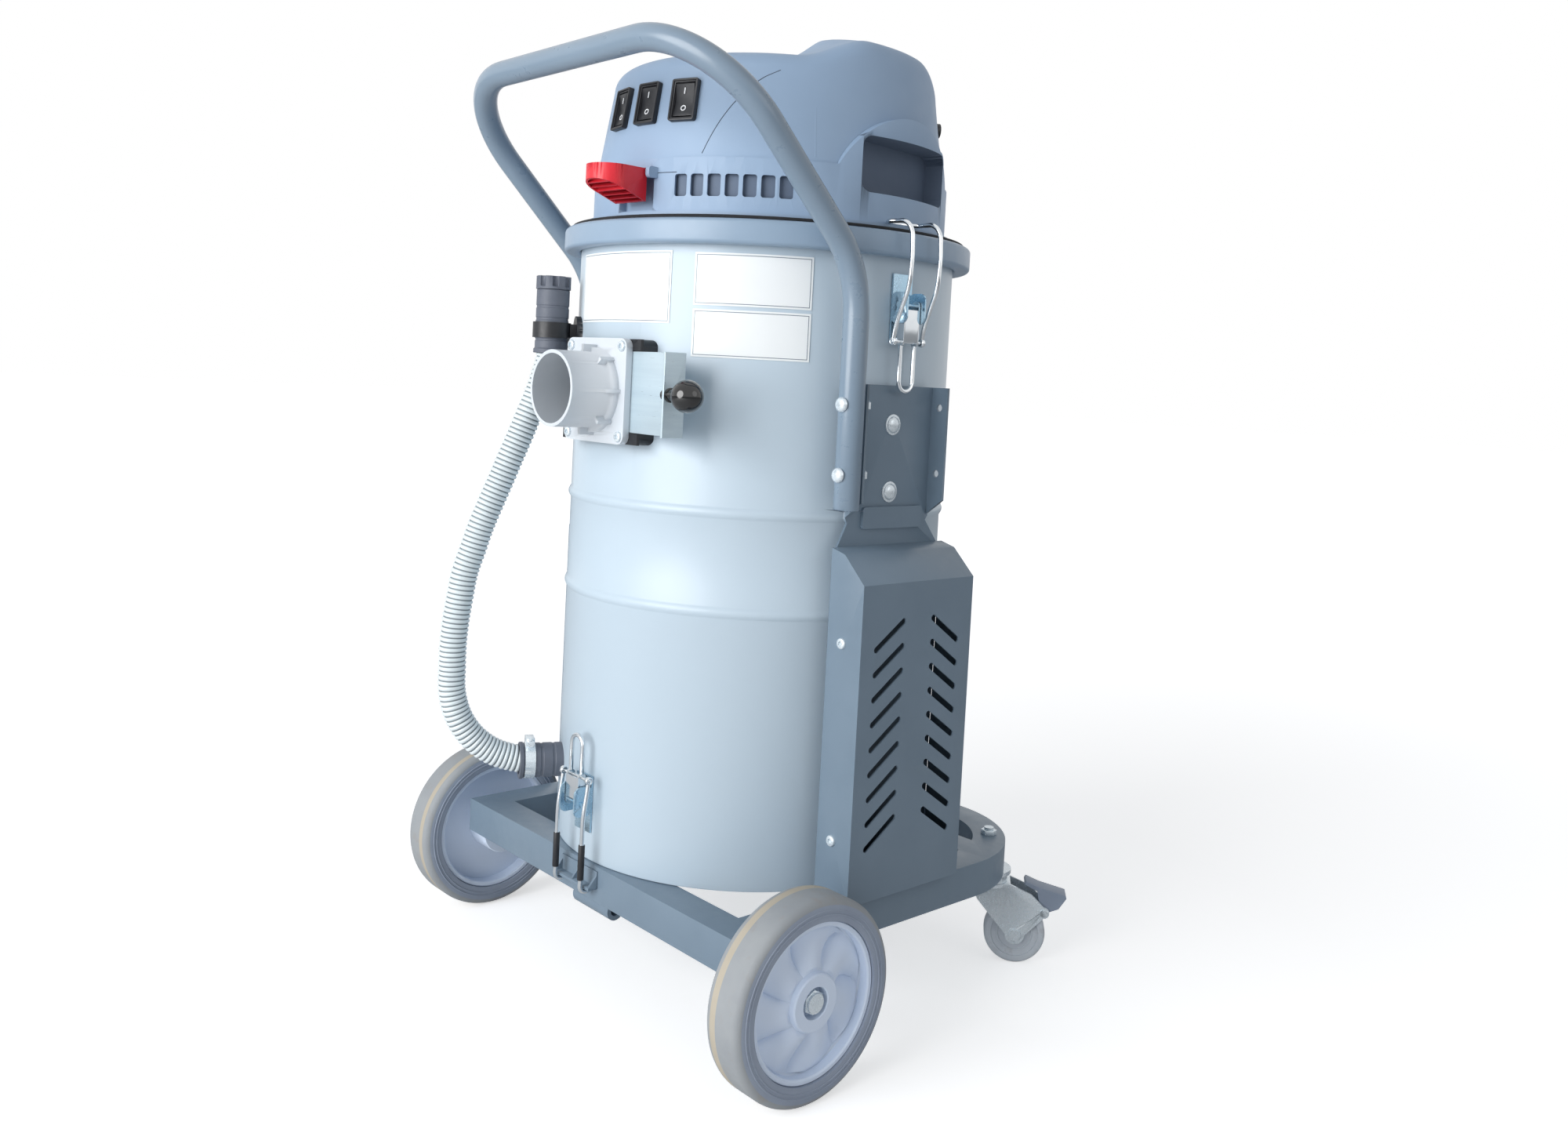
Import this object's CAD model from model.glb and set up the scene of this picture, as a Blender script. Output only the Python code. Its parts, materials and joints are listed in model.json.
# %% [markdown]
# # A wheeled wet and dry vacuum cleaner
# This lesson dresses a finished mechanical model for the camera. The construction (every tube, bolt
# and hinge at its real size) comes packed from CAD. Blender adds what CAD leaves out: soft edges,
# moulded shapes, a ribbed hose, and the paint, plastic, rubber and zinc that the pieces are made of.
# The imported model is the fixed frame. Nothing in it is moved or resized; a piece that is modelled
# again takes the place of its CAD node and rides on the same moving body.

# %% Open the frame
import bmesh
import bpy
import json
from math import atan, atan2, cos, degrees, hypot, pi, radians, sin, tan
from mathutils import Matrix, Vector


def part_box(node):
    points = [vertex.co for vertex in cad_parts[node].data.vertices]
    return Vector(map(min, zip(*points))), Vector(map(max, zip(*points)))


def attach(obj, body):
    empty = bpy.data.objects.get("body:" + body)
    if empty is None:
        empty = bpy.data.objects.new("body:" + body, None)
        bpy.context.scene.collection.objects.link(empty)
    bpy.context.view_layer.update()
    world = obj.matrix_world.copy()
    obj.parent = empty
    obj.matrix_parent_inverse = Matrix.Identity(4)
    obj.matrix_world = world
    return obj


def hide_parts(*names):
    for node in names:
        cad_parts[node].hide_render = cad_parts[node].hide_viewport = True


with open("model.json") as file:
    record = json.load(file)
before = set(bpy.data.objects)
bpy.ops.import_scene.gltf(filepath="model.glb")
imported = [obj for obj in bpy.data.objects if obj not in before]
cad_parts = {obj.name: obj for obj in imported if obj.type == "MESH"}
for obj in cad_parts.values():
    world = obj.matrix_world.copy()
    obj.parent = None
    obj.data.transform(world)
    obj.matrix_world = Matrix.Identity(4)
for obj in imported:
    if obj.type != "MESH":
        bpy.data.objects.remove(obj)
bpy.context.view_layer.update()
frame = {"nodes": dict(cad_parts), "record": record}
MM = 0.001
MICRON = 0.000001

# %% [markdown]
# ## The camera
# A camera is described as a photographer would set it: where it stands, which way it looks (heading,
# then how far it is tipped down, then how far it is rolled), and its lens. The small vertical shift
# plays the part of a view camera's rising front: the verticals stay nearly parallel.

# %% Set up the camera
heading = 47.81
tipped_down = 2.59
rolled = 2.95
camera = bpy.data.objects.new("camera", bpy.data.cameras.new("camera"))
camera.data.sensor_width = 36
camera.data.lens = 30.42
camera.data.shift_y = -0.08
bpy.context.scene.collection.objects.link(camera)
camera.matrix_world = (
    Matrix.Translation((1.228, -1.0709, 0.710))
    @ Matrix.Rotation(radians(heading), 4, "Z")
    @ Matrix.Rotation(radians(90 - tipped_down), 4, "X")
    @ Matrix.Rotation(radians(rolled), 4, "Z")
)
bpy.context.scene.camera = camera
print("camera at", [round(v, 3) for v in camera.matrix_world.translation])

# %% [markdown]
# ## A small tool box
# Everything below is modelled as by hand: add a primitive, go into edit mode, select some faces or
# edges, extrude or bevel them, go back and apply a modifier. An operator works on whatever is
# selected, so each helper first lets go of everything. Sizes are in millimetres, as on a workshop
# drawing, and each finished piece is scaled to metres once, at the end.

# %% Selecting, naming, modifying
def let_go():
    if bpy.context.mode != "OBJECT":
        bpy.ops.object.mode_set(mode="OBJECT")
    bpy.ops.object.select_all(action="DESELECT")


def take(*pieces):
    """Selects these pieces only; the first is the active one."""
    let_go()
    for piece in pieces:
        piece.select_set(True)
    bpy.context.view_layer.objects.active = pieces[0]
    return pieces[0]


def named(name):
    """Names the primitive that an operator has just added."""
    piece = bpy.context.object
    piece.name = piece.data.name = name
    return piece


def edit(piece, kind="FACE", action="DESELECT"):
    """Edit mode with nothing selected, or with everything for action="SELECT"."""
    take(piece)
    bpy.ops.object.mode_set(mode="EDIT")
    bpy.ops.mesh.select_mode(type=kind)
    bpy.ops.mesh.select_all(action=action)


def pick(piece, kind, wanted):
    """Edit mode, with the faces, edges or points selected that pass the test, in the piece's space."""
    edit(piece, kind)
    mesh = bmesh.from_edit_mesh(piece.data)
    parts = {"VERT": mesh.verts, "EDGE": mesh.edges, "FACE": mesh.faces}[kind]
    chosen = [part for part in parts if wanted(part)]
    for part in chosen:
        part.select_set(True)
    mesh.select_flush_mode()
    bmesh.update_edit_mesh(piece.data)
    return len(chosen)


def middle(edge):
    return (edge.verts[0].co + edge.verts[1].co) / 2


def span(edge):
    """How far an edge reaches along X, Y and Z."""
    return Vector([abs(step) for step in edge.verts[1].co - edge.verts[0].co])


def centre_of(face):
    return face.calc_center_median()


def reach(face):
    """How far a face is from the Z axis."""
    return hypot(*centre_of(face).xy)


def modify(piece, kind, **settings):
    """Adds a modifier, sets it and applies it."""
    take(piece)
    modifier = piece.modifiers.new(kind.title(), kind)
    for key, value in settings.items():
        setattr(modifier, key, value)
    bpy.ops.object.modifier_apply(modifier=modifier.name)
    return piece


def round_off(piece, wanted, width, segments=2, clamp=False):
    """Bevels the edges that pass the test."""
    if pick(piece, "EDGE", wanted):
        bpy.ops.mesh.bevel(offset=width, segments=segments, affect="EDGES", clamp_overlap=clamp)
    let_go()
    return piece


def round_sharp(piece, width, angle=30):
    """Bevels all edges that turn by more than the angle."""
    return modify(piece, "BEVEL", width=width, segments=2, limit_method="ANGLE",
                  angle_limit=radians(angle))


def throw_away(*pieces):
    for piece in pieces:
        bpy.data.objects.remove(piece)


def cut(piece, *cutters):
    """Boolean difference with each cutter, which is then thrown away."""
    for cutter in cutters:
        modify(piece, "BOOLEAN", operation="DIFFERENCE", solver="EXACT", object=cutter)
    throw_away(*cutters)
    return piece


def added(name, data):
    """A new object in the scene, around a mesh, curve or lamp."""
    piece = bpy.data.objects.new(name, data)
    bpy.context.scene.collection.objects.link(piece)
    return piece


def joined(name, *pieces):
    take(*pieces)
    if len(pieces) > 1:
        bpy.ops.object.join()
    return named(name)


def copied(piece, name, place):
    """A copy with its own mesh, moved by a matrix."""
    twin = added(name, piece.data.copy())
    twin.data.name = name
    twin.matrix_world = place @ piece.matrix_world
    return settled(twin)


def settled(piece):
    """Puts a piece's place, turn and scale into its mesh; a mirrored mesh is turned right side out."""
    flipped = piece.matrix_world.determinant() < 0
    take(piece)
    bpy.ops.object.transform_apply(location=True, rotation=True, scale=True)
    if flipped:
        outward(piece)
    return piece


def outward(piece, merge=0.001):
    """Merges double points, then makes every face look outwards."""
    edit(piece, action="SELECT")
    bpy.ops.mesh.remove_doubles(threshold=merge)
    bpy.ops.mesh.select_all(action="SELECT")
    bpy.ops.mesh.normals_make_consistent(inside=False)
    let_go()
    return piece


def spot(x=0, y=0, z=0):
    return Matrix.Translation((x, y, z))


def turned(angle, axis="Z"):
    return Matrix.Rotation(radians(angle), 4, axis)


TO_Y = turned(90, "X")
TO_X = turned(90, "Y")
SIDES = (("left", Matrix.Scale(-1, 4, (1, 0, 0))), ("right", Matrix.Identity(4)))
TURNS = (("right", 0), ("left", 180))


def extent(node):
    """Lowest and highest corner of a CAD node, in millimetres."""
    low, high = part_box(node)
    return low / MM, high / MM


print("tool box ready")

# %% [markdown]
# A few shapes return. A *lathe* piece starts as a circle that is extruded and resized ring by ring
# along an outline, as a potter raises a bowl. A *block* is a cube whose edges are bevelled, because
# no real edge is sharp. A *wire* is a curve with a round section, turned into a mesh.

# %% Lathe, block, peg and wire
def lathe(name, outline, steps=96, ends="cap"):
    """Turned about Z through (radius, height) points. ends is cap, bridge (last to first) or open."""
    let_go()
    radius, height = outline[0]
    bpy.ops.mesh.primitive_circle_add(vertices=steps, radius=radius, location=(0, 0, height))
    piece = settled(named(name))
    edit(piece, "VERT", "SELECT")
    for next_radius, next_height in outline[1:]:
        rise = (0, 0, next_height - height)
        bpy.ops.mesh.extrude_region_move(TRANSFORM_OT_translate={"value": rise})
        ratio = next_radius / radius
        bpy.ops.transform.resize(value=(ratio, ratio, 1), center_override=(0, 0, next_height))
        radius, height = next_radius, next_height
    bpy.ops.mesh.select_mode(type="EDGE")
    bpy.ops.mesh.select_all(action="DESELECT")
    if ends != "open":
        bpy.ops.mesh.select_non_manifold(extend=False)
    if ends == "bridge":
        bpy.ops.mesh.bridge_edge_loops()
    if ends == "cap":
        bpy.ops.mesh.fill_holes(sides=0)
    return outward(piece)


def block(name, low, high, bevel=0.0, segments=2):
    """A box between two corners, with all its edges rounded."""
    let_go()
    low, high = Vector(low), Vector(high)
    bpy.ops.mesh.primitive_cube_add(size=1, location=(low + high) / 2)
    piece = named(name)
    piece.scale = high - low
    settled(piece)
    if bevel:
        modify(piece, "BEVEL", width=bevel, segments=segments, limit_method="NONE")
    return piece


def peg(name, radius, length, bevel=0.0, sides=32, segments=2):
    """A round or many-sided rod standing on Z = 0, with its two end edges rounded."""
    let_go()
    bpy.ops.mesh.primitive_cylinder_add(vertices=sides, radius=radius, depth=length,
                                        location=(0, 0, length / 2))
    piece = settled(named(name))
    if bevel:
        round_off(piece, lambda edge: span(edge).z < 0.01, bevel, segments)
    return piece


def curve_through(name, points, smooth=False):
    """A curve through points. A smooth one bends like a spring, any other has straight runs."""
    curve = bpy.data.curves.new(name, "CURVE")
    curve.dimensions = "3D"
    line = curve.splines.new("BEZIER" if smooth else "POLY")
    knots = line.bezier_points if smooth else line.points
    knots.add(len(points) - 1)
    for knot, point in zip(knots, points):
        if smooth:
            knot.co = point
            knot.handle_left_type = knot.handle_right_type = "AUTO"
        else:
            knot.co = (*point, 1)
    return added(name, curve)


def wire(name, points, radius, sides=4, smooth=True):
    """A round wire along a curve, with closed ends."""
    piece = curve_through(name, points, smooth)
    piece.data.bevel_depth = radius
    piece.data.bevel_resolution = sides
    piece.data.resolution_u = 8
    piece.data.use_fill_caps = True
    take(piece)
    bpy.ops.object.convert(target="MESH")
    return outward(named(name))


def plate(name, outline, thick):
    """A flat outline of (x, y) points, drawn on Z = 0 and extruded upwards."""
    let_go()
    bpy.ops.mesh.primitive_circle_add(vertices=len(outline), fill_type="NGON")
    piece = named(name)
    for corner, (x, y) in zip(piece.data.vertices, outline):
        corner.co = (x, y, 0)
    edit(piece, action="SELECT")
    bpy.ops.mesh.extrude_region_move(TRANSFORM_OT_translate={"value": (0, 0, thick)})
    return outward(piece)


def moved(piece, place):
    """The piece, moved by a matrix into its place."""
    piece.matrix_world = place @ piece.matrix_world
    return settled(piece)


print("shapes ready")

# %% [markdown]
# ## Finishes
# Every finish is made of the same layers. A broad, faint cloud of noise keeps a surface from being
# one flat colour. A fine grain drives the bump, and a third noise changes the roughness, so that
# highlights break up. Only the sizes and depths differ. Colours are written as on a colour card, from
# 0 to 255, and turned into the linear values that light obeys. The patterns use Object coordinates,
# so they stay on the piece when it moves.

# %% The layered finish
def card(red, green, blue):
    """Linear colour of a colour card's 0 to 255 values."""
    def linear(value):
        value /= 255
        return value / 12.92 if value <= 0.04045 else ((value + 0.055) / 1.055) ** 2.4
    return (linear(red), linear(green), linear(blue), 1.0)


surfaces = {}


def tuned(node, **inputs):
    """Sets a node's inputs, written with _ for each space."""
    for key, value in inputs.items():
        node.inputs[key.replace("_", " ")].default_value = value
    return node


def node_of(tree, kind, **inputs):
    return tuned(tree.nodes.new(kind), **inputs)


def link_all(tree, *pairs):
    for output, entry in pairs:
        tree.links.new(output, entry)


def noise(tree, place, scale, detail=3.0, roughness=0.5):
    node = node_of(tree, "ShaderNodeTexNoise", Scale=scale, Detail=detail, Roughness=roughness)
    tree.links.new(place, node.inputs["Vector"])
    return node.outputs["Fac"]


def ranged(tree, value, low, high, start=0.25, end=0.75):
    node = node_of(tree, "ShaderNodeMapRange", From_Min=start, From_Max=end,
                   To_Min=low, To_Max=high)
    tree.links.new(value, node.inputs["Value"])
    return node.outputs["Result"]


def mixed(tree, factor, first, second):
    """Blend of two colours, each given as a colour or as another node's output."""
    node = tree.nodes.new("ShaderNodeMix")
    node.data_type = "RGBA"
    tree.links.new(factor, node.inputs[0])
    for slot, colour in zip((6, 7), (first, second)):
        if isinstance(colour, tuple):
            node.inputs[slot].default_value = colour
        else:
            tree.links.new(colour, node.inputs[slot])
    return node.outputs[2]


def finish(name, light, dark, rough, cloud=9.0, grain=900.0, depth=40, metal=0.0, coat=0.0,
           streak=None, dirt=None):
    """A layered finish of two card colours and a range of roughness. cloud and grain are noise
    scales, depth is the bump in microns, streak stretches the cloud, dirt settles in patches."""
    material = bpy.data.materials.new(name)
    material.use_nodes = True
    tree = material.node_tree
    shader = tuned(tree.nodes["Principled BSDF"], Metallic=metal, Coat_Weight=coat,
                   Coat_Roughness=0.12)
    place = tree.nodes.new("ShaderNodeTexCoord").outputs["Object"]
    broad = place
    if streak:
        stretch = node_of(tree, "ShaderNodeMapping", Scale=streak)
        tree.links.new(place, stretch.inputs["Vector"])
        broad = stretch.outputs["Vector"]
    patches = ranged(tree, noise(tree, broad, cloud), 0, 1)
    colour = mixed(tree, patches, card(*dark), card(*light))
    if dirt:
        specks = ranged(tree, noise(tree, place, 55.0, 6.0, 0.65), 0, 0.55, 0.56, 0.78)
        colour = mixed(tree, specks, colour, card(*dirt))
    tree.links.new(colour, shader.inputs["Base Color"])
    wear = noise(tree, broad, cloud * 6, 4.0, 0.6)
    tree.links.new(ranged(tree, wear, rough[0], rough[1]), shader.inputs["Roughness"])
    bump = node_of(tree, "ShaderNodeBump", Distance=depth * MICRON, Strength=1.0)
    tree.links.new(noise(tree, place, grain, 2.0), bump.inputs["Height"])
    tree.links.new(bump.outputs["Normal"], shader.inputs["Normal"])
    surfaces[name] = material


print("finishes can be mixed")

# %% [markdown]
# Powder coat has a fine orange peel: a shallow bump about a millimetre across. The drum's is paler
# and smoother than the frame's. The covers are folded from the same painted sheet as the frame.

# %% Paints
finish("frame_paint", (116, 134, 150), (109, 127, 143), (0.32, 0.44), 14, 650, 50)
finish("handle_paint", (125, 143, 160), (120, 138, 155), (0.26, 0.32), 10, 500, 10, coat=0.1)
finish("rim_paint", (142, 163, 184), (136, 157, 178), (0.32, 0.44), 14, 650, 50)
finish("cover_paint", (114, 132, 148), (107, 125, 141), (0.34, 0.46), 14, 650, 50)
finish("drum_paint", (187, 203, 215), (183, 199, 211), (0.34, 0.42), 5, 520, 30, coat=0.05,
       streak=(1, 1, 0.35))
print("paints:", len(surfaces))

# %% [markdown]
# Zinc plate is a metal finish with a cold cast, bluer on the latches. The latch wires are polished,
# and brushed sheet is the same metal with its cloud stretched into lines.

# %% Metals
finish("zinc", (226, 234, 239), (212, 223, 230), (0.20, 0.32), 40, 1500, 10, metal=0.45)
finish("blue_zinc", (190, 214, 228), (160, 194, 216), (0.20, 0.32), 30, 1500, 10, metal=0.9)
finish("bright_wire", (228, 232, 235), (214, 220, 225), (0.10, 0.18), 40, 1500, 10, metal=1.0)
finish("gate_steel", (205, 222, 230), (194, 212, 222), (0.26, 0.38), 30, 1200, 10, metal=0.4,
       streak=(0.2, 1, 6))
finish("motor_alloy", (176, 180, 184), (140, 145, 150), (0.38, 0.55), 40, 700, 80, metal=1.0)
print("metals ready")

# %% [markdown]
# Mouldings are matt with a spark-eroded grain, finer and deeper than paint. Rubber is rougher still
# and carries a little dust.

# %% Plastics and rubbers
finish("head_plastic", (148, 171, 197), (142, 165, 191), (0.46, 0.58), 8, 1300, 60)
finish("head_pocket", (98, 112, 132), (92, 106, 126), (0.6, 0.75), 8, 1300, 60)
finish("hub_plastic", (216, 228, 245), (210, 223, 242), (0.34, 0.46), 16, 900, 30)
finish("inlet_grey", (208, 214, 220), (200, 207, 214), (0.34, 0.46), 18, 1000, 40)
finish("black_plastic", (36, 38, 43), (27, 29, 33), (0.34, 0.50), 30, 1100, 40)
finish("knob_black", (16, 16, 18), (10, 10, 12), (0.05, 0.10), 40, 300, 10, coat=0.6)
finish("pedal_plastic", (142, 154, 172), (130, 142, 160), (0.40, 0.52), 30, 900, 40)
finish("hook_red", (226, 44, 58), (208, 32, 46), (0.32, 0.44), 24, 1000, 40)
finish("float_plastic", (226, 150, 70), (214, 138, 60), (0.35, 0.5), 20)
finish("tyre_rubber", (155, 159, 162), (143, 148, 153), (0.62, 0.78), 22, 800, 100,
       dirt=(150, 140, 128))
finish("caster_rubber", (200, 207, 214), (190, 198, 207), (0.50, 0.64), 30, 900, 60,
       dirt=(140, 136, 132))
finish("tyre_side", (150, 160, 176), (140, 150, 167), (0.62, 0.78), 22, 800, 80)
finish("tyre_seam", (182, 174, 158), (172, 163, 147), (0.62, 0.75), 22, 800, 80)
finish("seam_dark", (74, 86, 100), (66, 78, 92), (0.6, 0.7), 20)
finish("cuff_rubber", (98, 104, 116), (86, 92, 104), (0.48, 0.62), 30, 700, 80)
finish("gasket_foam", (34, 36, 40), (26, 28, 32), (0.80, 0.95), 60, 500, 200)
finish("hose_plastic", (220, 229, 232), (212, 221, 225), (0.34, 0.46), 35, 900, 30)
finish("hose_groove", (126, 136, 140), (112, 122, 127), (0.50, 0.62), 35, 900, 30)
finish("label", (236, 240, 241), (231, 235, 237), (0.36, 0.44), 12, 400, 10)
finish("label_ink", (120, 132, 142), (108, 120, 132), (0.30, 0.40), 20)
finish("mark_white", (238, 240, 242), (226, 230, 234), (0.35, 0.45), 30)
finish("filter_paper", (226, 222, 206), (210, 205, 188), (0.8, 0.95), 12, 300, 200)
print("finishes:", len(surfaces))

# %% [markdown]
# ## Handing a piece over
# A finished piece is scaled to metres about the origin, shaded smooth up to an angle, given its
# finish, and told which body it rides on and which CAD nodes it stands for. Many CAD nodes already
# have the right shape and only need soft edges: those are copied, their loose triangles are merged
# back into clean faces, and the long sharp edges are bevelled.

# %% Finished pieces
slots = [material["slot"] for material in frame["record"]["materials"]]
body_of = {node: body for body, nodes in frame["record"]["behaviour"]["bodies"].items()
           for node in nodes}
slot_of = {part["node"]: part["material_slot"] for part in frame["record"]["subparts"]}


def hand_over(piece, look, *nodes, body=None, slot=None, smooth=32):
    """The last step of every piece: it takes the place of CAD nodes, or rides along on a body."""
    piece.matrix_world = Matrix.Scale(MM, 4) @ piece.matrix_world
    settled(piece)
    bpy.ops.object.shade_smooth_by_angle(angle=radians(smooth))
    if not piece.data.materials:
        piece.data.materials.append(surfaces[look])
    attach(piece, body or body_of[nodes[0]])
    if nodes:
        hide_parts(*nodes)
    print(f"{piece.name}: {len(piece.data.polygons)} faces")
    return piece


def on_both_sides(place, *rows):
    """Hands over a left and a right copy of each row's piece, for the CAD node of that side."""
    for side_name, side in SIDES:
        for piece, name, look, node, smooth in rows:
            twin = copied(piece, f"{side_name}_{name}", side @ place)
            hand_over(twin, look, f"{side_name}_{node}", smooth=smooth)
    throw_away(*(row[0] for row in rows))


def as_modelled(node):
    """A copy of a CAD node in millimetres, its triangles merged into the faces that they come from."""
    piece = added(node + "_shape", frame["nodes"][node].data.copy())
    piece.data.materials.clear()
    piece.matrix_world = Matrix.Scale(1 / MM, 4)
    settled(piece)
    edit(piece, action="SELECT")
    bpy.ops.mesh.remove_doubles(threshold=0.003)
    bpy.ops.mesh.dissolve_limited(angle_limit=radians(0.6))
    let_go()
    return piece


def soften(piece, width, segments=2, shortest=4.0, angle=50.0):
    """Bevels the edges that are sharp and long enough to catch the light."""
    def sharp(edge):
        return (len(edge.link_faces) == 2 and edge.calc_length() > shortest
                and edge.calc_face_angle(0) > radians(angle))
    return round_off(piece, sharp, width, segments, clamp=True)


def painted(piece, look, *others):
    """Gives a piece its finish; each other is a finish and the test of the faces that get it."""
    piece.data.materials.append(surfaces[look])
    for number, (inked, wanted) in enumerate(others, 1):
        piece.data.materials.append(surfaces[inked])
        pick(piece, "FACE", wanted)
        piece.active_material_index = number
        bpy.ops.object.material_slot_assign()
    let_go()


def softened(node, width, look=None, others=(), **choices):
    """A CAD node with soft edges, handed over in its finish."""
    piece = soften(as_modelled(node), width, **choices)
    piece.name = piece.data.name = node + "_dressed"
    look = look or slot_of[node]
    painted(piece, look, *others)
    return hand_over(piece, look, node)


print("slots in the record:", len(slots))

# %% [markdown]
# ## The drain hose
# A ribbed hose is one short rib repeated. So one rib is turned on the lathe, with its crest, its
# groove and the smooth bore inside. An Array modifier repeats it along Z, and a Curve modifier lays
# the row along the route. The route leaves the cuff at the foot of the drum, turns up and runs to the
# end fitting beside the inlet. Both ends are held, and it is as long as the way between them.

# %% The hose's route and its rib
drain_heading = -115
hose_radius = 16
groove_radius = 14.4
hose_bore = 12
ribs_per_step = 5
route = [
    (228, 244), (256, 244), (283, 248), (309, 258), (331.4, 276), (347, 300), (355, 328),
    (356, 356), (356, 384), (354, 412), (350.4, 440), (346, 468), (338, 495), (330, 522),
    (320, 549), (310, 575), (300, 602), (290, 628), (281, 653), (272, 677), (264, 703),
    (258, 730), (258, 758),
]


def along_route(step, share):
    """Point between route points step and step + 1, on a smooth curve through all of them."""
    last = len(route) - 1
    a, b, c, d = (Vector(route[min(max(step + k, 0), last)]) for k in (-1, 0, 1, 2))
    leave = c - b if step == 0 else (c - a) / 2
    arrive = c - b if step + 2 > last else (d - b) / 2
    s = share
    flat = ((2 * s**3 - 3 * s**2 + 1) * b + (s**3 - 2 * s**2 + s) * leave
            + (3 * s**2 - 2 * s**3) * c + (s**3 - s**2) * arrive)
    out = Vector((cos(radians(drain_heading)), sin(radians(drain_heading)), 0))
    return out * flat.x + Vector((0, 0, flat.y))


centreline = [along_route(step, k / 10) for step in range(len(route) - 1) for k in range(10)]
centreline.append(along_route(len(route) - 2, 1.0))
hose_length = sum((b - a).length for a, b in zip(centreline, centreline[1:]))
rib_count = (len(route) - 1) * ribs_per_step
pitch = hose_length / rib_count
print(f"hose: {hose_length:.1f} mm long, {rib_count} ribs of {pitch:.2f} mm")

# %% Array and Curve
crest = [(0.0, 0.0), (0.14, 0.10), (0.26, 0.80), (0.40, 1.0),
         (0.60, 1.0), (0.74, 0.80), (0.86, 0.10), (1.0, 0.0)]
rib = lathe("drain_hose_ribbed", [(groove_radius + (hose_radius - groove_radius) * out, pitch * at)
                                  for at, out in crest], 24, "open")
bore = lathe("hose_bore", [(hose_bore, 0), (hose_bore, pitch)], 24, "open")
edit(bore, action="SELECT")
bpy.ops.mesh.normals_make_consistent(inside=True)
hose = joined("drain_hose_ribbed", rib, bore)
painted(hose, "hose_plastic", ("hose_groove", lambda face: reach(face) < groove_radius + 0.5))
modify(hose, "ARRAY", count=rib_count, use_relative_offset=False, use_constant_offset=True,
       constant_offset_displace=(0, 0, pitch), use_merge_vertices=True, merge_threshold=0.01)
guide = curve_through("hose_guide", centreline)
modify(hose, "CURVE", object=guide, deform_axis="POS_Z")
throw_away(guide)
edit(hose, "EDGE")
bpy.ops.mesh.select_non_manifold(extend=False)
bpy.ops.mesh.fill_holes(sides=0)
let_go()
hand_over(hose, "hose_plastic", "drain_hose", smooth=50)

# %% [markdown]
# ## Floor, sky and lamps
# The stage is a plain pale floor. The sky is white where the camera or a mirror looks at it, but
# soft grey as a light, so that it adds no glare. One large lamp stands in front on the operator's
# side, and a weak one fills the other side.

# %% Stage and light
let_go()
bpy.ops.mesh.primitive_plane_add(size=60, location=(0, 0, -0.0005))
floor = named("floor")
floor_material = bpy.data.materials.new("floor")
floor_material.use_nodes = True
tree = floor_material.node_tree
surface = tuned(tree.nodes["Principled BSDF"], Base_Color=(0.80, 0.80, 0.80, 1), Roughness=0.9,
                Specular_IOR_Level=0.0)
place = tree.nodes.new("ShaderNodeTexCoord").outputs["Object"]
away = tree.nodes.new("ShaderNodeVectorMath")
away.operation = "LENGTH"
seen = tree.nodes.new("ShaderNodeLightPath").outputs["Is Camera Ray"]
glow = node_of(tree, "ShaderNodeEmission", Color=(1, 1, 1, 1))
chosen = tree.nodes.new("ShaderNodeMixShader")
total = tree.nodes.new("ShaderNodeAddShader")
tree.links.new(place, away.inputs[0])
glow_strength = ranged(tree, away.outputs["Value"], 0.54, 0.85, 0.8, 4.0)
link_all(tree, (glow_strength, glow.inputs["Strength"]), (seen, chosen.inputs[0]),
         (glow.outputs[0], chosen.inputs[2]), (surface.outputs[0], total.inputs[0]),
         (chosen.outputs[0], total.inputs[1]),
         (total.outputs[0], tree.nodes["Material Output"].inputs["Surface"]))
floor.data.materials.append(floor_material)

world = bpy.data.worlds.new("studio")
bpy.context.scene.world = world
world.use_nodes = True
sky = world.node_tree
sky_light = tuned(sky.nodes["Background"], Color=(0.93, 0.96, 1.0, 1), Strength=0.40)
sky_seen = node_of(sky, "ShaderNodeBackground", Color=(1, 1, 1, 1), Strength=1.0)
ray = sky.nodes.new("ShaderNodeLightPath")
either = sky.nodes.new("ShaderNodeMath")
either.operation = "ADD"
any_of = sky.nodes.new("ShaderNodeMath")
any_of.operation = "ADD"
any_of.use_clamp = True
sky_mix = sky.nodes.new("ShaderNodeMixShader")
link_all(sky, (ray.outputs["Is Camera Ray"], either.inputs[0]),
         (ray.outputs["Is Glossy Ray"], either.inputs[1]), (either.outputs[0], any_of.inputs[0]),
         (ray.outputs["Is Transmission Ray"], any_of.inputs[1]),
         (any_of.outputs[0], sky_mix.inputs[0]),
         (sky_light.outputs[0], sky_mix.inputs[1]), (sky_seen.outputs[0], sky_mix.inputs[2]),
         (sky_mix.outputs[0], sky.nodes["World Output"].inputs["Surface"]))
bpy.context.scene.view_settings.view_transform = "Standard"


def lamp(name, place, aim, size, power):
    light = bpy.data.lights.new(name, "AREA")
    light.shape = "DISK"
    light.size = size
    light.energy = power
    back = (Vector(place) - Vector(aim)).to_track_quat("Z", "Y").to_matrix().to_4x4()
    added(name, light).matrix_world = Matrix.Translation(place) @ back


lamp("key_lamp", (0.1, -3.45, 1.35), (0, 0, 0.5), 2.8, 122)
lamp("fill_lamp", (3.2, 0.6, 1.8), (0, 0, 0.5), 2.0, 8)
print("stage and lamps ready")

# %% [markdown]
# ## The drum
# The drum is a rolled sheet with two beads that stiffen it, as a barrel's hoops do. It is turned up
# the outside over both beads, over the edge, down the inside and across the bottom. A rod cuts the
# opening behind the inlet, as a hole saw would.

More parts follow.
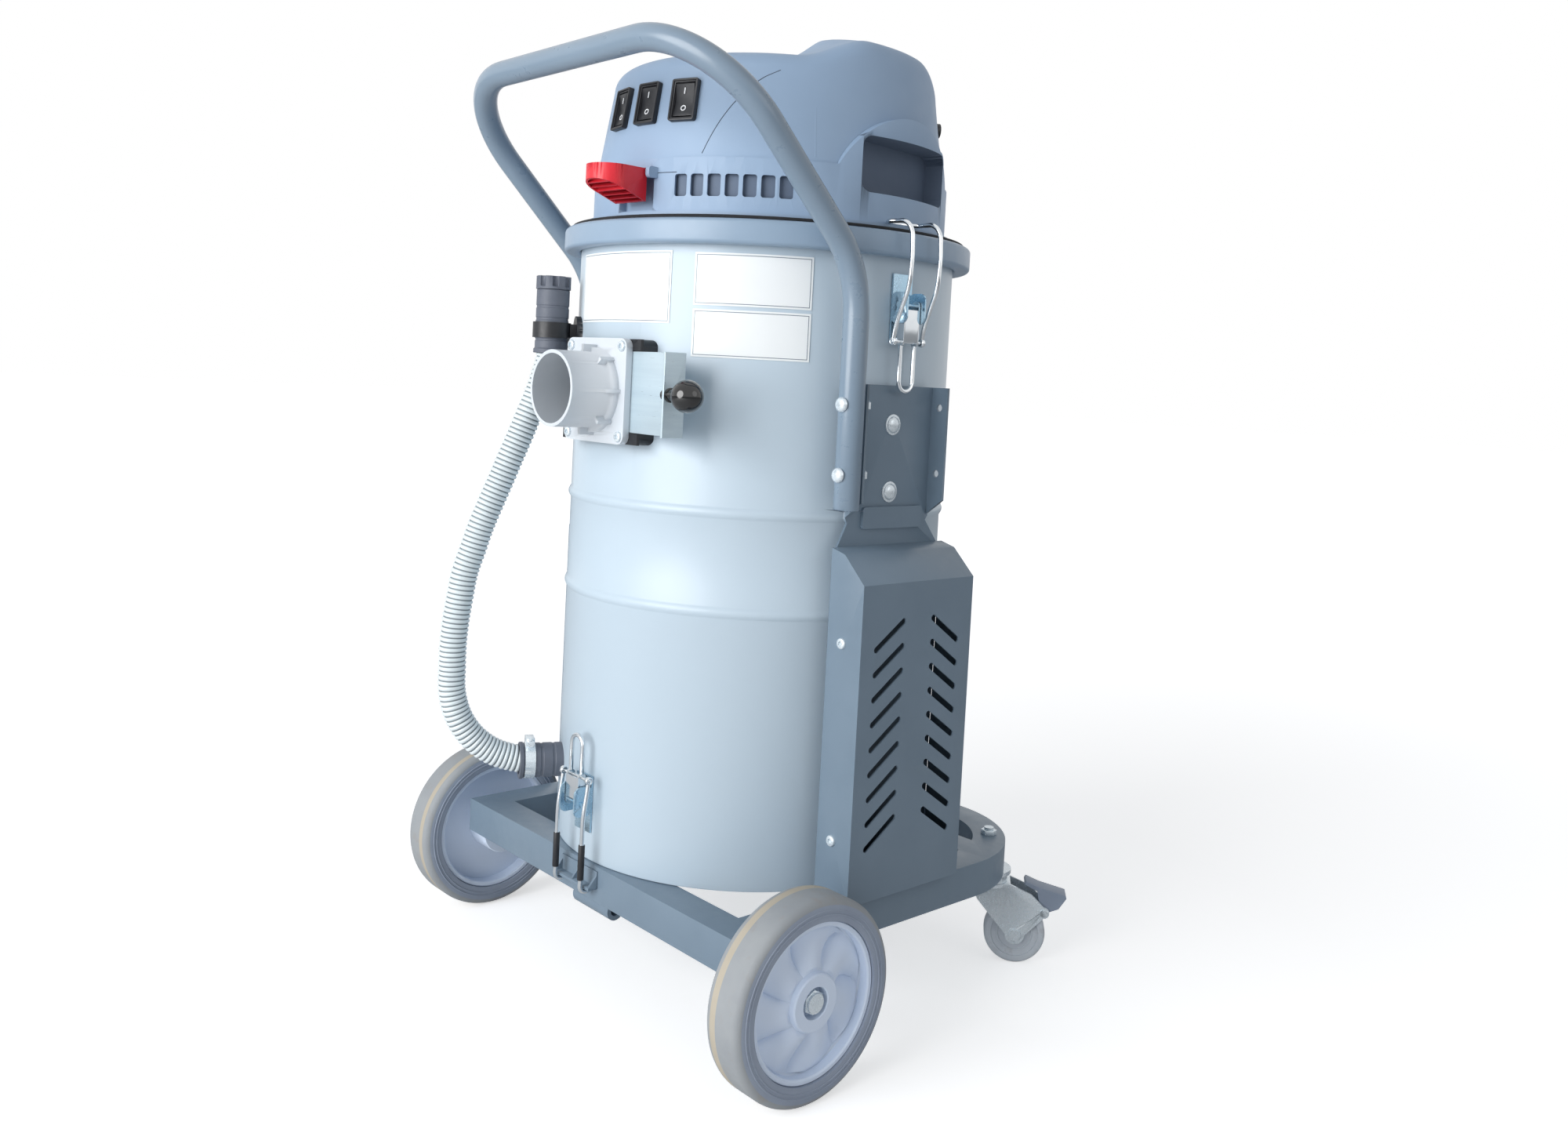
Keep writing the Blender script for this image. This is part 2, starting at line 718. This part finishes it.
# %% Turn the drum
drum_low, drum_high = extent("drum")
foot_z = drum_low.z
drum_radius = 225
wall = 1.5
bead_out = 3
bead_half = 7
bead_heights = (foot_z + 302, foot_z + 409)
inlet_z = 687.5
inlet_bore = 38


def bead(height):
    """Outline points over one rolled bead."""
    return [(drum_radius + bead_out * sin(pi * k / 8), height - bead_half + 2 * bead_half * k / 8)
            for k in range(9)]


outside = [(drum_radius - 3, foot_z), (drum_radius - 0.8, foot_z + 0.8), (drum_radius, foot_z + 3)]
for height in bead_heights:
    outside += bead(height)
outside += [(drum_radius, drum_high.z), (drum_radius - wall, drum_high.z)]
inside = [(drum_radius - wall, foot_z + 3), (drum_radius - 4, foot_z + wall)]
drum = lathe("drum_shell", outside + inside, 192, "cap")
hole = moved(peg("hole_saw", inlet_bore + 8, 40, sides=64),
             spot(0, -drum_radius + 20, inlet_z) @ TO_Y)
cut(drum, hole)
hand_over(drum, "drum_paint", "drum", smooth=40)

# %% [markdown]
# The rim ring is a rolled section round the drum's mouth, and the head sits on a strip of black
# foam. Both are closed rings, so the lathe's last ring is bridged to the first.

# %% Rim ring and foam strip
ring_low, ring_high = extent("rim_ring")
round_edge = 4.5


def rounded_section(r0, r1, z0, z1, corner, steps=4):
    """Outline of a rectangle with round corners, as (radius, height) points going round."""
    points = []
    for (r, z, start) in ((r1 - corner, z0 + corner, -90), (r1 - corner, z1 - corner, 0),
                          (r0 + corner, z1 - corner, 90), (r0 + corner, z0 + corner, 180)):
        for k in range(steps + 1):
            angle = radians(start + 90 * k / steps)
            points.append((r + corner * cos(angle), z + corner * sin(angle)))
    return points


rim = lathe("rim_ring_rolled", rounded_section(drum_radius + 0.1, ring_high.x, ring_low.z, ring_high.z,
                                               round_edge), 192, "bridge")
hand_over(rim, "rim_paint", "rim_ring", smooth=40)
gasket_low, gasket_high = extent("head_gasket")
strip = lathe("gasket_strip", rounded_section(200, gasket_high.x, gasket_low.z, gasket_high.z, 1.2, 3),
              144, "bridge")
hand_over(strip, "gasket_foam", "head_gasket", smooth=40)

# %% [markdown]
# ## The head's cover
# The cover is a moulded dome. It is raised on the lathe with fine steps, and then two shoulders are
# pulled up over the grips: each point is lifted by an amount that fades with its distance from the
# grip, so the surface stays smooth. Solidify gives the moulding its wall, and booleans cut the
# pockets for the grips, the switches and the cord.

# %% Raise the dome and its shoulders
step_z = 943
cover_foot = 209.5
taper = 0.16
edge_radius = 22
side_height = 97
crown_z = step_z + 141
shoulder_rise = 26
shoulder_heading = 7
edge_centre = cover_foot - side_height * taper - edge_radius
side = [(cover_foot - z * taper, step_z + z) for z in range(0, side_height + 1, 8)]
corner = [(edge_centre + edge_radius * cos(radians(a)),
           step_z + side_height + edge_radius * sin(radians(a))) for a in range(14, 86, 6)]
top = [(edge_centre * f, crown_z - (crown_z - step_z - side_height - edge_radius) * f * f)
       for f in (0.97, 0.93, 0.88, 0.82, 0.75, 0.67, 0.58, 0.49, 0.40, 0.31, 0.22, 0.13, 0.05)]
cover = lathe("head_cover_moulded", side + corner + top, 240, "open")


def eased(start, end, value):
    share = min(1, max(0, (value - start) / (end - start)))
    return share * share * (3 - 2 * share)


def shoulder(point):
    """How far a point of the dome is lifted over the two grips."""
    heading_of = degrees(atan2(point.y, point.x))
    turn = abs((heading_of - shoulder_heading + 90 + 720) % 180 - 90)
    return (shoulder_rise * eased(40, 105, hypot(point.x, point.y))
            * eased(step_z + 55, step_z + 120, point.z) * (1 - eased(14, 42, turn)))


for point in cover.data.vertices:
    point.co.z += shoulder(point.co)
pick(cover, "EDGE", lambda edge: edge.is_boundary and middle(edge).z > crown_z - 10)
bpy.ops.mesh.fill_holes(sides=0)
outward(cover)
modify(cover, "SOLIDIFY", thickness=3, offset=-1)
print("cover raised:", len(cover.data.polygons), "faces")

# %% Cut the pockets
grip_heading = 7
grip_width, grip_z, grip_height, grip_deep = 152, 917, 61, 40
base_radius = 212.5
switch_headings = (-100.5, -85.5, -70.5)
switch_z = 1006
switch_radius = cover_foot - (switch_z - step_z) * taper
tilt = degrees(atan(taper))
gland_heading, gland_z = 60, 1029


def rounded_box(name, depth, width, height, corner, steps=6):
    """A box lying along +X from x = 0, whose four long edges are rounded."""
    piece = block(name, (0, -width / 2, -height / 2), (depth, width / 2, height / 2))
    return round_off(piece, lambda edge: span(edge).x > depth / 2, corner, steps)


def at_switch(heading_of):
    return turned(heading_of) @ spot(switch_radius, 0, switch_z) @ turned(-tilt, "Y")


pockets = [moved(rounded_box("pocket", 70, grip_width + 7, grip_height + 7, 15),
                 turned(grip_heading + side_turn)
                 @ spot(base_radius - grip_deep - 3.5, 0, grip_z + grip_height / 2))
           for side_name, side_turn in TURNS]
pockets += [moved(rounded_box("window", 30, 28.6, 42.6, 1), at_switch(heading_of) @ spot(-15))
            for heading_of in switch_headings]
gland_radius = cover_foot - (gland_z - step_z) * taper
pockets.append(moved(peg("window", 9.1, 40),
                     turned(gland_heading) @ spot(gland_radius - 20, 0, gland_z) @ TO_X))
cut(cover, *pockets)
hand_over(cover, "head_plastic", "head_cover", smooth=28)

# %% [markdown]
# ## Details on the head
# Mouldings meet in fine dark seams, drawn as thin wires half sunk in the surface: along the
# shoulders, and round the cover's foot between the two grips. A low rib stands on each flank of the
# cover, where the two halves of its mould closed.

# %% Seams and a rib
def on_cover(heading_of, z, out=0.0):
    """A point on the cover's flank, at a heading and a height."""
    radius = cover_foot - (z - step_z) * taper + out
    return Vector((radius * cos(radians(heading_of)), radius * sin(radians(heading_of)), z))


def seam(name, points):
    line = wire(name, points, 0.45, sides=2)
    hand_over(line, "seam_dark", body="trolley", slot="head_plastic")


shoulder_line = [(-62.5, 947), (-60, 968), (-56.5, 990), (-52, 1010), (-46, 1029), (-40, 1040)]
for side_turn, name in ((0, "cover_seam_front"), (180, "cover_seam_back")):
    seam(name, [on_cover(side_turn + at, z) for at, z in shoulder_line])
for side_name, side_turn in TURNS:
    seam(f"cover_foot_seam_{side_name}",
         [on_cover(a + side_turn, step_z, 0.1) for a in range(30, 165, 3)])
seam("base_parting_line", [turned(a) @ Vector((base_radius + 0.1, 0, 927))
                           for a in (-77.5, -75, -72.5, -70)])
rib_outline = [(-38, 0), (-36, 1.6), (36, 1.6), (38, 0)]
rib_heading, rib_z = -28.5, 985
for side_turn, name in ((0, "cover_rib_front"), (180, "cover_rib_back")):
    rib = round_sharp(plate(name, rib_outline, 3), 0.5)
    moved(rib, turned(rib_heading + side_turn) @ spot(on_cover(0, rib_z, -0.3).x, -1.5, rib_z)
          @ turned(-tilt, "Y") @ turned(-90, "X") @ turned(90, "Z") @ spot(0, -0.3))
    hand_over(rib, "head_plastic", body="trolley")

# %% [markdown]
# The vents aren't open to the motors: a baffle, bent to the head's curve, stands close behind them.

# %% Baffles behind the vents
baffle_out, baffle_in, baffle_low, baffle_high = 207, 204.5, 898, 928
baffle_headings = [radians(-75 + 2 * k) for k in range(23)]
baffle_outline = [(baffle_out * cos(a), baffle_out * sin(a)) for a in baffle_headings]
baffle_outline += [(baffle_in * cos(a), baffle_in * sin(a)) for a in reversed(baffle_headings)]
for side_name, side_turn in TURNS:
    baffle = plate(f"vent_baffle_{side_name}", baffle_outline, baffle_high - baffle_low)
    moved(round_sharp(baffle, 0.4, 50), turned(side_turn) @ spot(0, 0, baffle_low))
    hand_over(baffle, "head_pocket", body="trolley", slot="head_plastic")

# %% [markdown]
# ## Switches
# One rocker is drawn as a side view, extruded and rounded. Its upper half stands proud, as a switched
# one's does. The marks for on and off are a bar and a ring. Each rocker stands in a stepped black
# bezel, cut from a rounded block.

# %% Three rockers with their marks
rocker_half, rocker_top = 11.9, 17.9
side_view = [(-7, -rocker_top + 3), (-7, rocker_top - 3), (0, rocker_top), (4.4, rocker_top),
             (3.6, 13), (2.2, 7), (1.2, 0), (1.5, -7), (2.2, -13), (2.9, -rocker_top),
             (0, -rocker_top)]
rocker = moved(plate("rocker", side_view, 2 * rocker_half), spot(0, rocker_half) @ TO_Y)
round_sharp(rocker, 0.5, 35)
bar = block("bar", (2.9, -0.7, 6.5), (3.7, 0.7, 13.5), 0.2)
ring = moved(lathe("ring", [(2.2, 0), (3.3, 0), (3.3, 0.7), (2.2, 0.7)], 32, "bridge"),
             spot(1.75, 0, -9) @ turned(-7, "Y") @ TO_X)
rocker.data.materials.append(surfaces["black_plastic"])
for mark in (bar, ring):
    mark.data.materials.append(surfaces["mark_white"])
rocker = joined("rocker", rocker, bar, ring)
bezel = rounded_box("switch_bezel", 7, 33, 47, 2.5, 3)
cut(bezel, block("opening", (-1, -12.6, -19.6), (8, 12.6, 19.6)),
    block("step", (5.4, -14.2, -21.2), (8, 14.2, 21.2)))
round_sharp(bezel, 0.5, 40)
for number, heading_of in enumerate(switch_headings, 1):
    surround = copied(bezel, f"switch_bezel_{number}", at_switch(heading_of) @ spot(-1.2))
    hand_over(surround, "black_plastic", body="trolley")
for number, heading_of in enumerate(switch_headings, 1):
    twin = copied(rocker, f"rocker_{number}_marked", at_switch(heading_of))
    hand_over(twin, "black_plastic", f"rocker_{number}")
throw_away(bezel, rocker)

# %% [markdown]
# ## The push handle
# One tube, bent four times. Its centre line is drawn with true arcs, and a round section runs along
# it.

# %% Bend the tube
lean = 45.5
leg_x, leg_y, leg_foot = 243, -85, 575
bar_y, bar_z = -300, 1040
leg_bend, bar_bend = 120, 115
bend_z = bar_z - (leg_y - bar_y) / tan(radians(lean))
leg_end = bend_z - leg_bend * tan(radians(lean) / 2)
up_lean = Vector((0, -sin(radians(lean)), cos(radians(lean))))
half_run = [Vector((leg_x, leg_y, leg_foot)), Vector((leg_x, leg_y, leg_end - 60))]
for step in range(14):
    angle = radians(lean * step / 13)
    half_run.append(Vector((leg_x, leg_y - leg_bend * (1 - cos(angle)),
                            leg_end + leg_bend * sin(angle))))
corner_centre = Vector((leg_x - bar_bend, bar_y, bar_z)) - up_lean * bar_bend
for step in range(25):
    angle = radians(90 * step / 24)
    half_run.append(corner_centre + bar_bend * (Vector((cos(angle), 0, 0)) + up_lean * sin(angle)))
whole_run = half_run + [Vector((-point.x, point.y, point.z)) for point in reversed(half_run)]
handle = wire("push_handle", whole_run, 14, sides=12, smooth=False)
round_off(handle, lambda edge: middle(edge).z < leg_foot + 1 and span(edge).z < 0.5, 1.2)
hand_over(handle, "handle_paint", "handle", smooth=40)

# %% [markdown]
# ## Wheels
# The tyre is turned with round shoulders, two fine raised lines on its side and a pale seam round
# the tread. The hub is turned too; then its dish gets seven round petals with creases between: each
# ring of points is lifted in seven waves and turned a little further than the one inside it.

# %% Tyre and hub
wheel_width, wheel_radius, rim_radius, shoulder_radius = 50, 103, 80, 9
wheel_face, axle_y = 331, -175.5
wheel_place = spot(wheel_face - wheel_width, axle_y, wheel_radius) @ TO_X


def shoulder_arc(middle_z, start):
    return [(wheel_radius - shoulder_radius + shoulder_radius * cos(radians(start + k * 15)),
             middle_z + shoulder_radius * sin(radians(start + k * 15))) for k in range(7)]


tyre_face = [(rim_radius + 0.2, 1.5), (82, 0.9), (86, 0.9), (86.5, 0.1), (87.5, 0.1), (88, 0.9),
             (90, 0.9), (90.5, 0.1), (91.5, 0.1), (92, 0.7)]
seam_low, seam_high = 10, 18
tyre_outline = tyre_face + shoulder_arc(shoulder_radius + 0.7, -90)[1:]
tyre_outline += [(wheel_radius, seam_low), (wheel_radius, seam_high)]
tyre_outline += shoulder_arc(wheel_width - shoulder_radius - 0.7, 0)[:-1]
tyre_outline += [(radius, wheel_width - z) for radius, z in reversed(tyre_face)]
tyre = lathe("tyre", tyre_outline, 144, "bridge")


def on_seam(face):
    return reach(face) > 102 and seam_low < centre_of(face).z < seam_high


painted(tyre, "tyre_rubber", ("tyre_seam", on_seam), ("tyre_side", lambda face: reach(face) < 96))

petals, petal_rise = 7, 12.5
swept = [(34, 40.5), (40, 37), (47, 34), (54, 32), (61, 31), (68, 31.5), (72, 33.5)]
hub_outline = [(10.1, -16.8), (10.1, 36), (16, 36), (16, 47.2), (16.8, 48), (27.5, 48),
               (29, 46.5), (30, 42)] + swept
hub_outline += [(74, 35), (74, 44.5), (75.5, 46), (79, 46), (79.9, 45), (79.9, 5), (79, 4),
                (75.5, 4), (74, 5), (74, 21), (29, 21), (29, -16), (28, -16.8)]
hub = lathe("hub", hub_outline, 168, "bridge")
for point in hub.data.vertices:
    for ring, (radius, height) in enumerate(swept):
        if abs(hypot(*point.co.xy) - radius) < 0.01 and abs(point.co.z - height) < 0.01:
            heading_of = degrees(atan2(point.co.y, point.co.x))
            petal = sin(pi * ((heading_of * petals / 360) % 1)) ** 0.7
            fade = sin(pi * (ring + 0.6) / len(swept)) ** 0.6
            point.co.z += petal_rise * fade * (petal - 0.5)
            point.co = turned(-16 * (ring / (len(swept) - 1)) ** 1.4) @ point.co
on_both_sides(wheel_place, (tyre, "tyre_turned", "tyre_rubber", "tyre", 32),
              (hub, "hub_dished", "hub_plastic", "wheel", 24))

# %% [markdown]
# The caster wheels are small mouldings with rings on their faces, and a steel bush in the middle.

# %% Caster wheels
caster_x, caster_y, caster_turn, caster_trail, caster_radius = 205, 236, 40, 38, 37.5
half_face = [(4.2, 13.6), (7.2, 13.6), (7.4, 13.4), (12, 13.4), (12.6, 12.8), (13, 10), (20, 9.6),
             (20.5, 10.4), (22, 10.4), (22.5, 9.6), (28.5, 10.2), (29, 11.6), (34, 11.9), (35.6, 11.2),
             (37, 9.6), (caster_radius, 7.5), (caster_radius, 0)]
roller = lathe("roller", half_face[::-1] + [(radius, -z) for radius, z in half_face[:-1]],
               96, "bridge")
painted(roller, "caster_rubber", ("zinc", lambda face: reach(face) < 7.3))
on_both_sides(spot(caster_x, caster_y) @ turned(caster_turn)
              @ spot(caster_trail, 0, caster_radius) @ TO_Y,
              (roller, "caster_wheel_turned", "caster_rubber", "caster_wheel", 32))

# %% [markdown]
# ## Latch wires
# A bail is one spring wire with an eye at each end. The top ones go up one side, round the hook and
# down the other, bent like a swan's neck. The front one has two hooked legs, each in a black sleeve.

# %% Bails
wire_radius = 2.5
lever_x = 239


def pin_and_eyes(half, z):
    """The pin at a bail's lower end, and the wire's eye on each end of it."""
    eye = rounded_section(2.0, 4.6, -2.4, 2.4, 1.1, 3)
    pin = moved(peg("pin", 2, 2 * half + 5, 0.4, sides=20), spot(lever_x, half + 2.5, z) @ TO_Y)
    return [pin] + [moved(lathe("eye", eye, 28, "bridge"), spot(lever_x, y, z) @ TO_Y)
                    for y in (-half, half)]


neck = [(lever_x, 759), (242, 774), (250, 796), (257, 815), (259.5, 836), (259.5, 862), (257, 877),
        (248, 885.5), (236, 886.8), (222, 886.8)]
swan_half = 22.5
loop = ([Vector((x, -swan_half, z)) for x, z in neck]
        + [Vector((x, swan_half, z)) for x, z in reversed(neck)])
swan = joined("top_bail", wire("top_bail", loop, wire_radius, sides=6),
              *pin_and_eyes(swan_half, 757))
on_both_sides(spot(), (swan, "bail_bent", "bright_wire", "latch_bail", 50))
front_x, front_half, sleeve_x, sleeve_z, sleeve_length = -9.5, 25.5, 244.5, 141, 40
leg = [(lever_x, 252), (241, 236), (244.2, 212), (sleeve_x, 190), (sleeve_x, 140), (243.5, 130),
       (239, 127), (231.5, 127)]
legs = [wire("leg", [(x, y, z) for x, z in leg], wire_radius, sides=6)
        for y in (-front_half, front_half)]
legs += [moved(peg("sleeve", 3.7, sleeve_length, 0.8, sides=28), spot(sleeve_x, y, sleeve_z))
         for y in (-front_half, front_half)]
front = joined("front_bail_bent", *legs, *pin_and_eyes(front_half, 252))


def on_sleeve(face):
    """Faces of the sleeves, which stand off the wire's own line."""
    x, y, z = centre_of(face)
    return (sleeve_z - 0.5 < z < sleeve_z + sleeve_length + 0.5
            and hypot(x - sleeve_x, abs(y) - front_half) > 3)


painted(front, "bright_wire", ("black_plastic", on_sleeve))
moved(front, spot(front_x) @ turned(-90))
hand_over(front, "bright_wire", "front_latch_bail", smooth=50)

# %% [markdown]
# ## Bolts and screws
# Each kind is modelled once and copied to its places: a domed bolt with a flange, a pan head with a
# socket, a hex nut with its bolt's end.

# %% One of each kind
domed = lathe("domed", [(11.5, 0), (11.5, 1.2), (9.2, 1.4), (8.8, 2.4), (7.4, 3.8), (5, 4.7), (2, 5),
                        (0.4, 5.05)], 48)
pan = lathe("pan", [(6, 0), (6, 1.2), (5.4, 2.3), (4.2, 2.9), (2.6, 3), (2.5, 0.9), (0.2, 0.8)], 36)
nut = joined("nut", peg("nut", 7, 6, 0.5, sides=6),
             moved(peg("end", 4, 7, 0.7, sides=32), spot(0, 0, 0.2)))
stud = joined("stud", peg("stud", 4, 10.8, 0.3, sides=24), peg("seat", 7, 5.4, 0.5, sides=6))
shank = moved(peg("shank", 3, 16, 0.3, sides=24), spot(0, 0, -15.5))
round_head = lathe("round_head", [(4, -32), (4, 0), (8, 0), (8, 1.4), (7.2, 3), (5.4, 4.2), (2.5, 4.9),
                                  (0.3, 5)], 40)


def scatter(piece, name, places):
    """Copies of a piece at each place, as one list."""
    return [copied(piece, name, place) for place in places]


def mirrored(*places):
    """The places on the right side, then the same on the left."""
    return [side @ place for side_name, side in reversed(SIDES) for place in places]


inlet_face, inlet_half = -244, 49
dome_places = mirrored(*(spot(228.3, -5, z) @ TO_X for z in (592, 666)))
stud_places = mirrored(*(spot(217, -5, z) @ TO_X for z in (592, 666)))
cover_places = mirrored(*(spot(250, y, z) @ turned(a, "X") for z in (224, 435)
                          for y, a in ((-87.5, 90), (87.5, -90))))
inlet_places = [spot(x, inlet_face, inlet_z + z) @ TO_Y for x in (-inlet_half, inlet_half)
                for z in (-inlet_half, inlet_half)]
screws = (scatter(domed, "screw", dome_places) + scatter(stud, "screw", stud_places)
          + scatter(pan, "screw", cover_places + inlet_places)
          + scatter(shank, "screw", inlet_places))
hand_over(joined("screws_detailed", *screws), "zinc", "screws")
bolt_heights = (612.5, 686.5)
leg_places = mirrored(*(spot(leg_x, leg_y - 14, z) @ TO_Y for z in bolt_heights))
nut_places = mirrored(*(spot(leg_x, -67.8, z) @ turned(-90, "X") for z in bolt_heights))
bolts = scatter(round_head, "bolt", leg_places) + scatter(nut, "bolt", nut_places)
hand_over(joined("handle_bolts_detailed", *bolts), "zinc", "handle_bolts")
throw_away(domed, pan, nut, stud, shank, round_head)

# %% [markdown]
# ## Labels, knob, cuff and end fitting
# The labels are left bare: a white foil with a fine printed border. Each starts as a flat grid that
# is wrapped round the drum, and Solidify gives it its thickness.

# %% Three bare labels
foil_radius = drum_radius + 0.75


def label(name, start, end, low, high):
    """A foil on the drum between two headings, with a border line 2 mm from its edge."""
    degree = degrees(1 / drum_radius)
    line_out, line_in = 2, 2.8
    first, last = start + line_in * degree, end - line_in * degree
    columns = [start, start + line_out * degree, first]
    columns += [first + (last - first) * k / 16 for k in range(1, 16)]
    columns += [last, end - line_out * degree, end]
    rows = [low, low + line_out, low + line_in, high - line_in, high - line_out, high]
    let_go()
    bpy.ops.mesh.primitive_grid_add(x_subdivisions=len(columns) - 1,
                                    y_subdivisions=len(rows) - 1, size=2)
    foil = named(name)
    for point in foil.data.vertices:
        heading_of = radians(columns[round((point.co.x + 1) / 2 * (len(columns) - 1))])
        height = rows[round((point.co.y + 1) / 2 * (len(rows) - 1))]
        point.co = (foil_radius * cos(heading_of), foil_radius * sin(heading_of), height)

    def on_border(face):
        x, y, z = centre_of(face)
        at = degrees(atan2(y, x))
        near, far = sorted((min(at - start, end - at) / degree, min(z - low, high - z)))
        return line_out < near < line_in and far > line_out
    painted(foil, "label", ("label_ink", on_border))
    modify(foil, "SOLIDIFY", thickness=0.7, offset=-1)
    return foil


foils = [label("foil", -110, -68, 763.5, 841.5), label("foil", -61, -28.5, 784, 840),
         label("foil", -61, -28.5, 729, 780)]
hand_over(joined("labels_bare", *foils), "label", "blank_plates", smooth=50)

# %% Knob, cuff and end fitting
ball_radius, ball_top = 17, 193.5
ball = [(ball_radius * sin(radians(a)), ball_top - ball_radius + ball_radius * cos(radians(a)))
        for a in range(2, 158, 8)]
knob = lathe("gate_knob_turned", ball + [(6.4, 159), (6.4, 150), (7.6, 149.4), (7.6, 147.6), (4, 147.5),
                                         (4, 144.5), (6, 144.5), (6, 138.7), (4, 138.5), (4, 137.6),
                                         (0.3, 137.5)], 64)
moved(knob, spot(0, -251.5, inlet_z) @ TO_X)
hand_over(knob, "knob_black", "gate_knob")
cuff = lathe("drain_cuff_turned", [(12.1, 224), (20, 224), (20, 233), (19.3, 233.8), (19.3, 236),
                                   (20, 236.8), (20, 247), (19.3, 247.8), (19.3, 250), (20, 250.8),
                                   (20, 270), (21.4, 271), (21.4, 274.4), (20.8, 275), (16.2, 275),
                                   (16.1, 229), (12.1, 228)], 72, "bridge")
moved(cuff, turned(drain_heading) @ spot(0, 0, route[0][1]) @ TO_X)
hand_over(cuff, "cuff_rubber", "drain_cuff")
fitting = lathe("drain_end_turned", [(16.1, 726), (19.9, 726), (20.4, 726.6), (20.4, 730.6),
                                     (19.6, 731.4), (19, 732), (19, 740), (18.4, 740.6), (18.4, 742.6),
                                     (19, 743.2), (19, 764), (18.4, 764.6), (18.4, 767), (19, 767.6),
                                     (19, 778), (18.4, 778.6), (18.4, 781), (19, 781.6), (19, 799.2),
                                     (18.2, 800), (12.2, 800), (12.1, 759.5), (16.1, 759)],
                72, "bridge")
moved(fitting, turned(drain_heading) @ spot(route[-1][0], 0))
hand_over(fitting, "cuff_rubber", "drain_end")

# %% [markdown]
# ## Pieces whose shape is already right
# Frames, brackets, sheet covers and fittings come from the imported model. Their edges are rounded by
# the radius that the real process leaves: a bent or rolled tube about 4 mm, a folded sheet about 2,
# a stamped or moulded fitting less than 1.

# %% Frame, sheet metal and fittings
def in_pocket(face):
    """Faces inside the two grips, seen from each grip's own heading."""
    x, y, z = turned(-grip_heading) @ centre_of(face)
    return (170 < abs(x) and hypot(x, y) < base_radius - 0.6 and abs(y) < grip_width / 2 + 1
            and abs(z - grip_z - grip_height / 2) < grip_height / 2 + 1)


softened("base_frame", 4, segments=3)
softened("latch_keeper", 0.8)
softened("axle", 0.8, shortest=6)
for side_name, side in SIDES:
    softened(f"{side_name}_bracket", 0.9)
    softened(f"{side_name}_cover", 1.8, shortest=20, segments=3)
    softened(f"{side_name}_caster_stem", 0.5)
    softened(f"{side_name}_caster_fork", 0.6)
    softened(f"{side_name}_brake_pedal", 1.2)
    softened(f"{side_name}_latch_plate", 0.4, "blue_zinc")
    softened(f"{side_name}_latch_lever", 0.4, "bright_wire")
softened("front_latch_plate", 0.4, "blue_zinc")
softened("front_latch_lever", 0.4, "bright_wire")
softened("head_base", 1.0, shortest=3, others=[("head_pocket", in_pocket)])
softened("red_hook", 0.8, shortest=3)
for node, width in (("inlet_plate", 1.2), ("gate", 0.6), ("inlet_socket", 1.0), ("hose_clamp", 0.3),
                    ("hose_clip", 1.0)):
    softened(node, width)
softened("drain_cap", 0.8, shortest=1)
softened("cord_gland", 0.6, shortest=2)
softened("switch_frames", 0.6)

# %% [markdown]
# ## What stays from CAD
# Round pieces and the works inside keep their CAD mesh. They take their finish from the record's
# material slots, so nothing is left in a default grey.

# %% Finishes on the remaining nodes
kept = 0
for node, piece in frame["nodes"].items():
    if piece.hide_render:
        continue
    piece.data.materials.clear()
    piece.data.materials.append(surfaces[slot_of[node]])
    kept += 1
print("CAD nodes shown as they are:", kept)

# %% Write the sizes and finish
let_go()
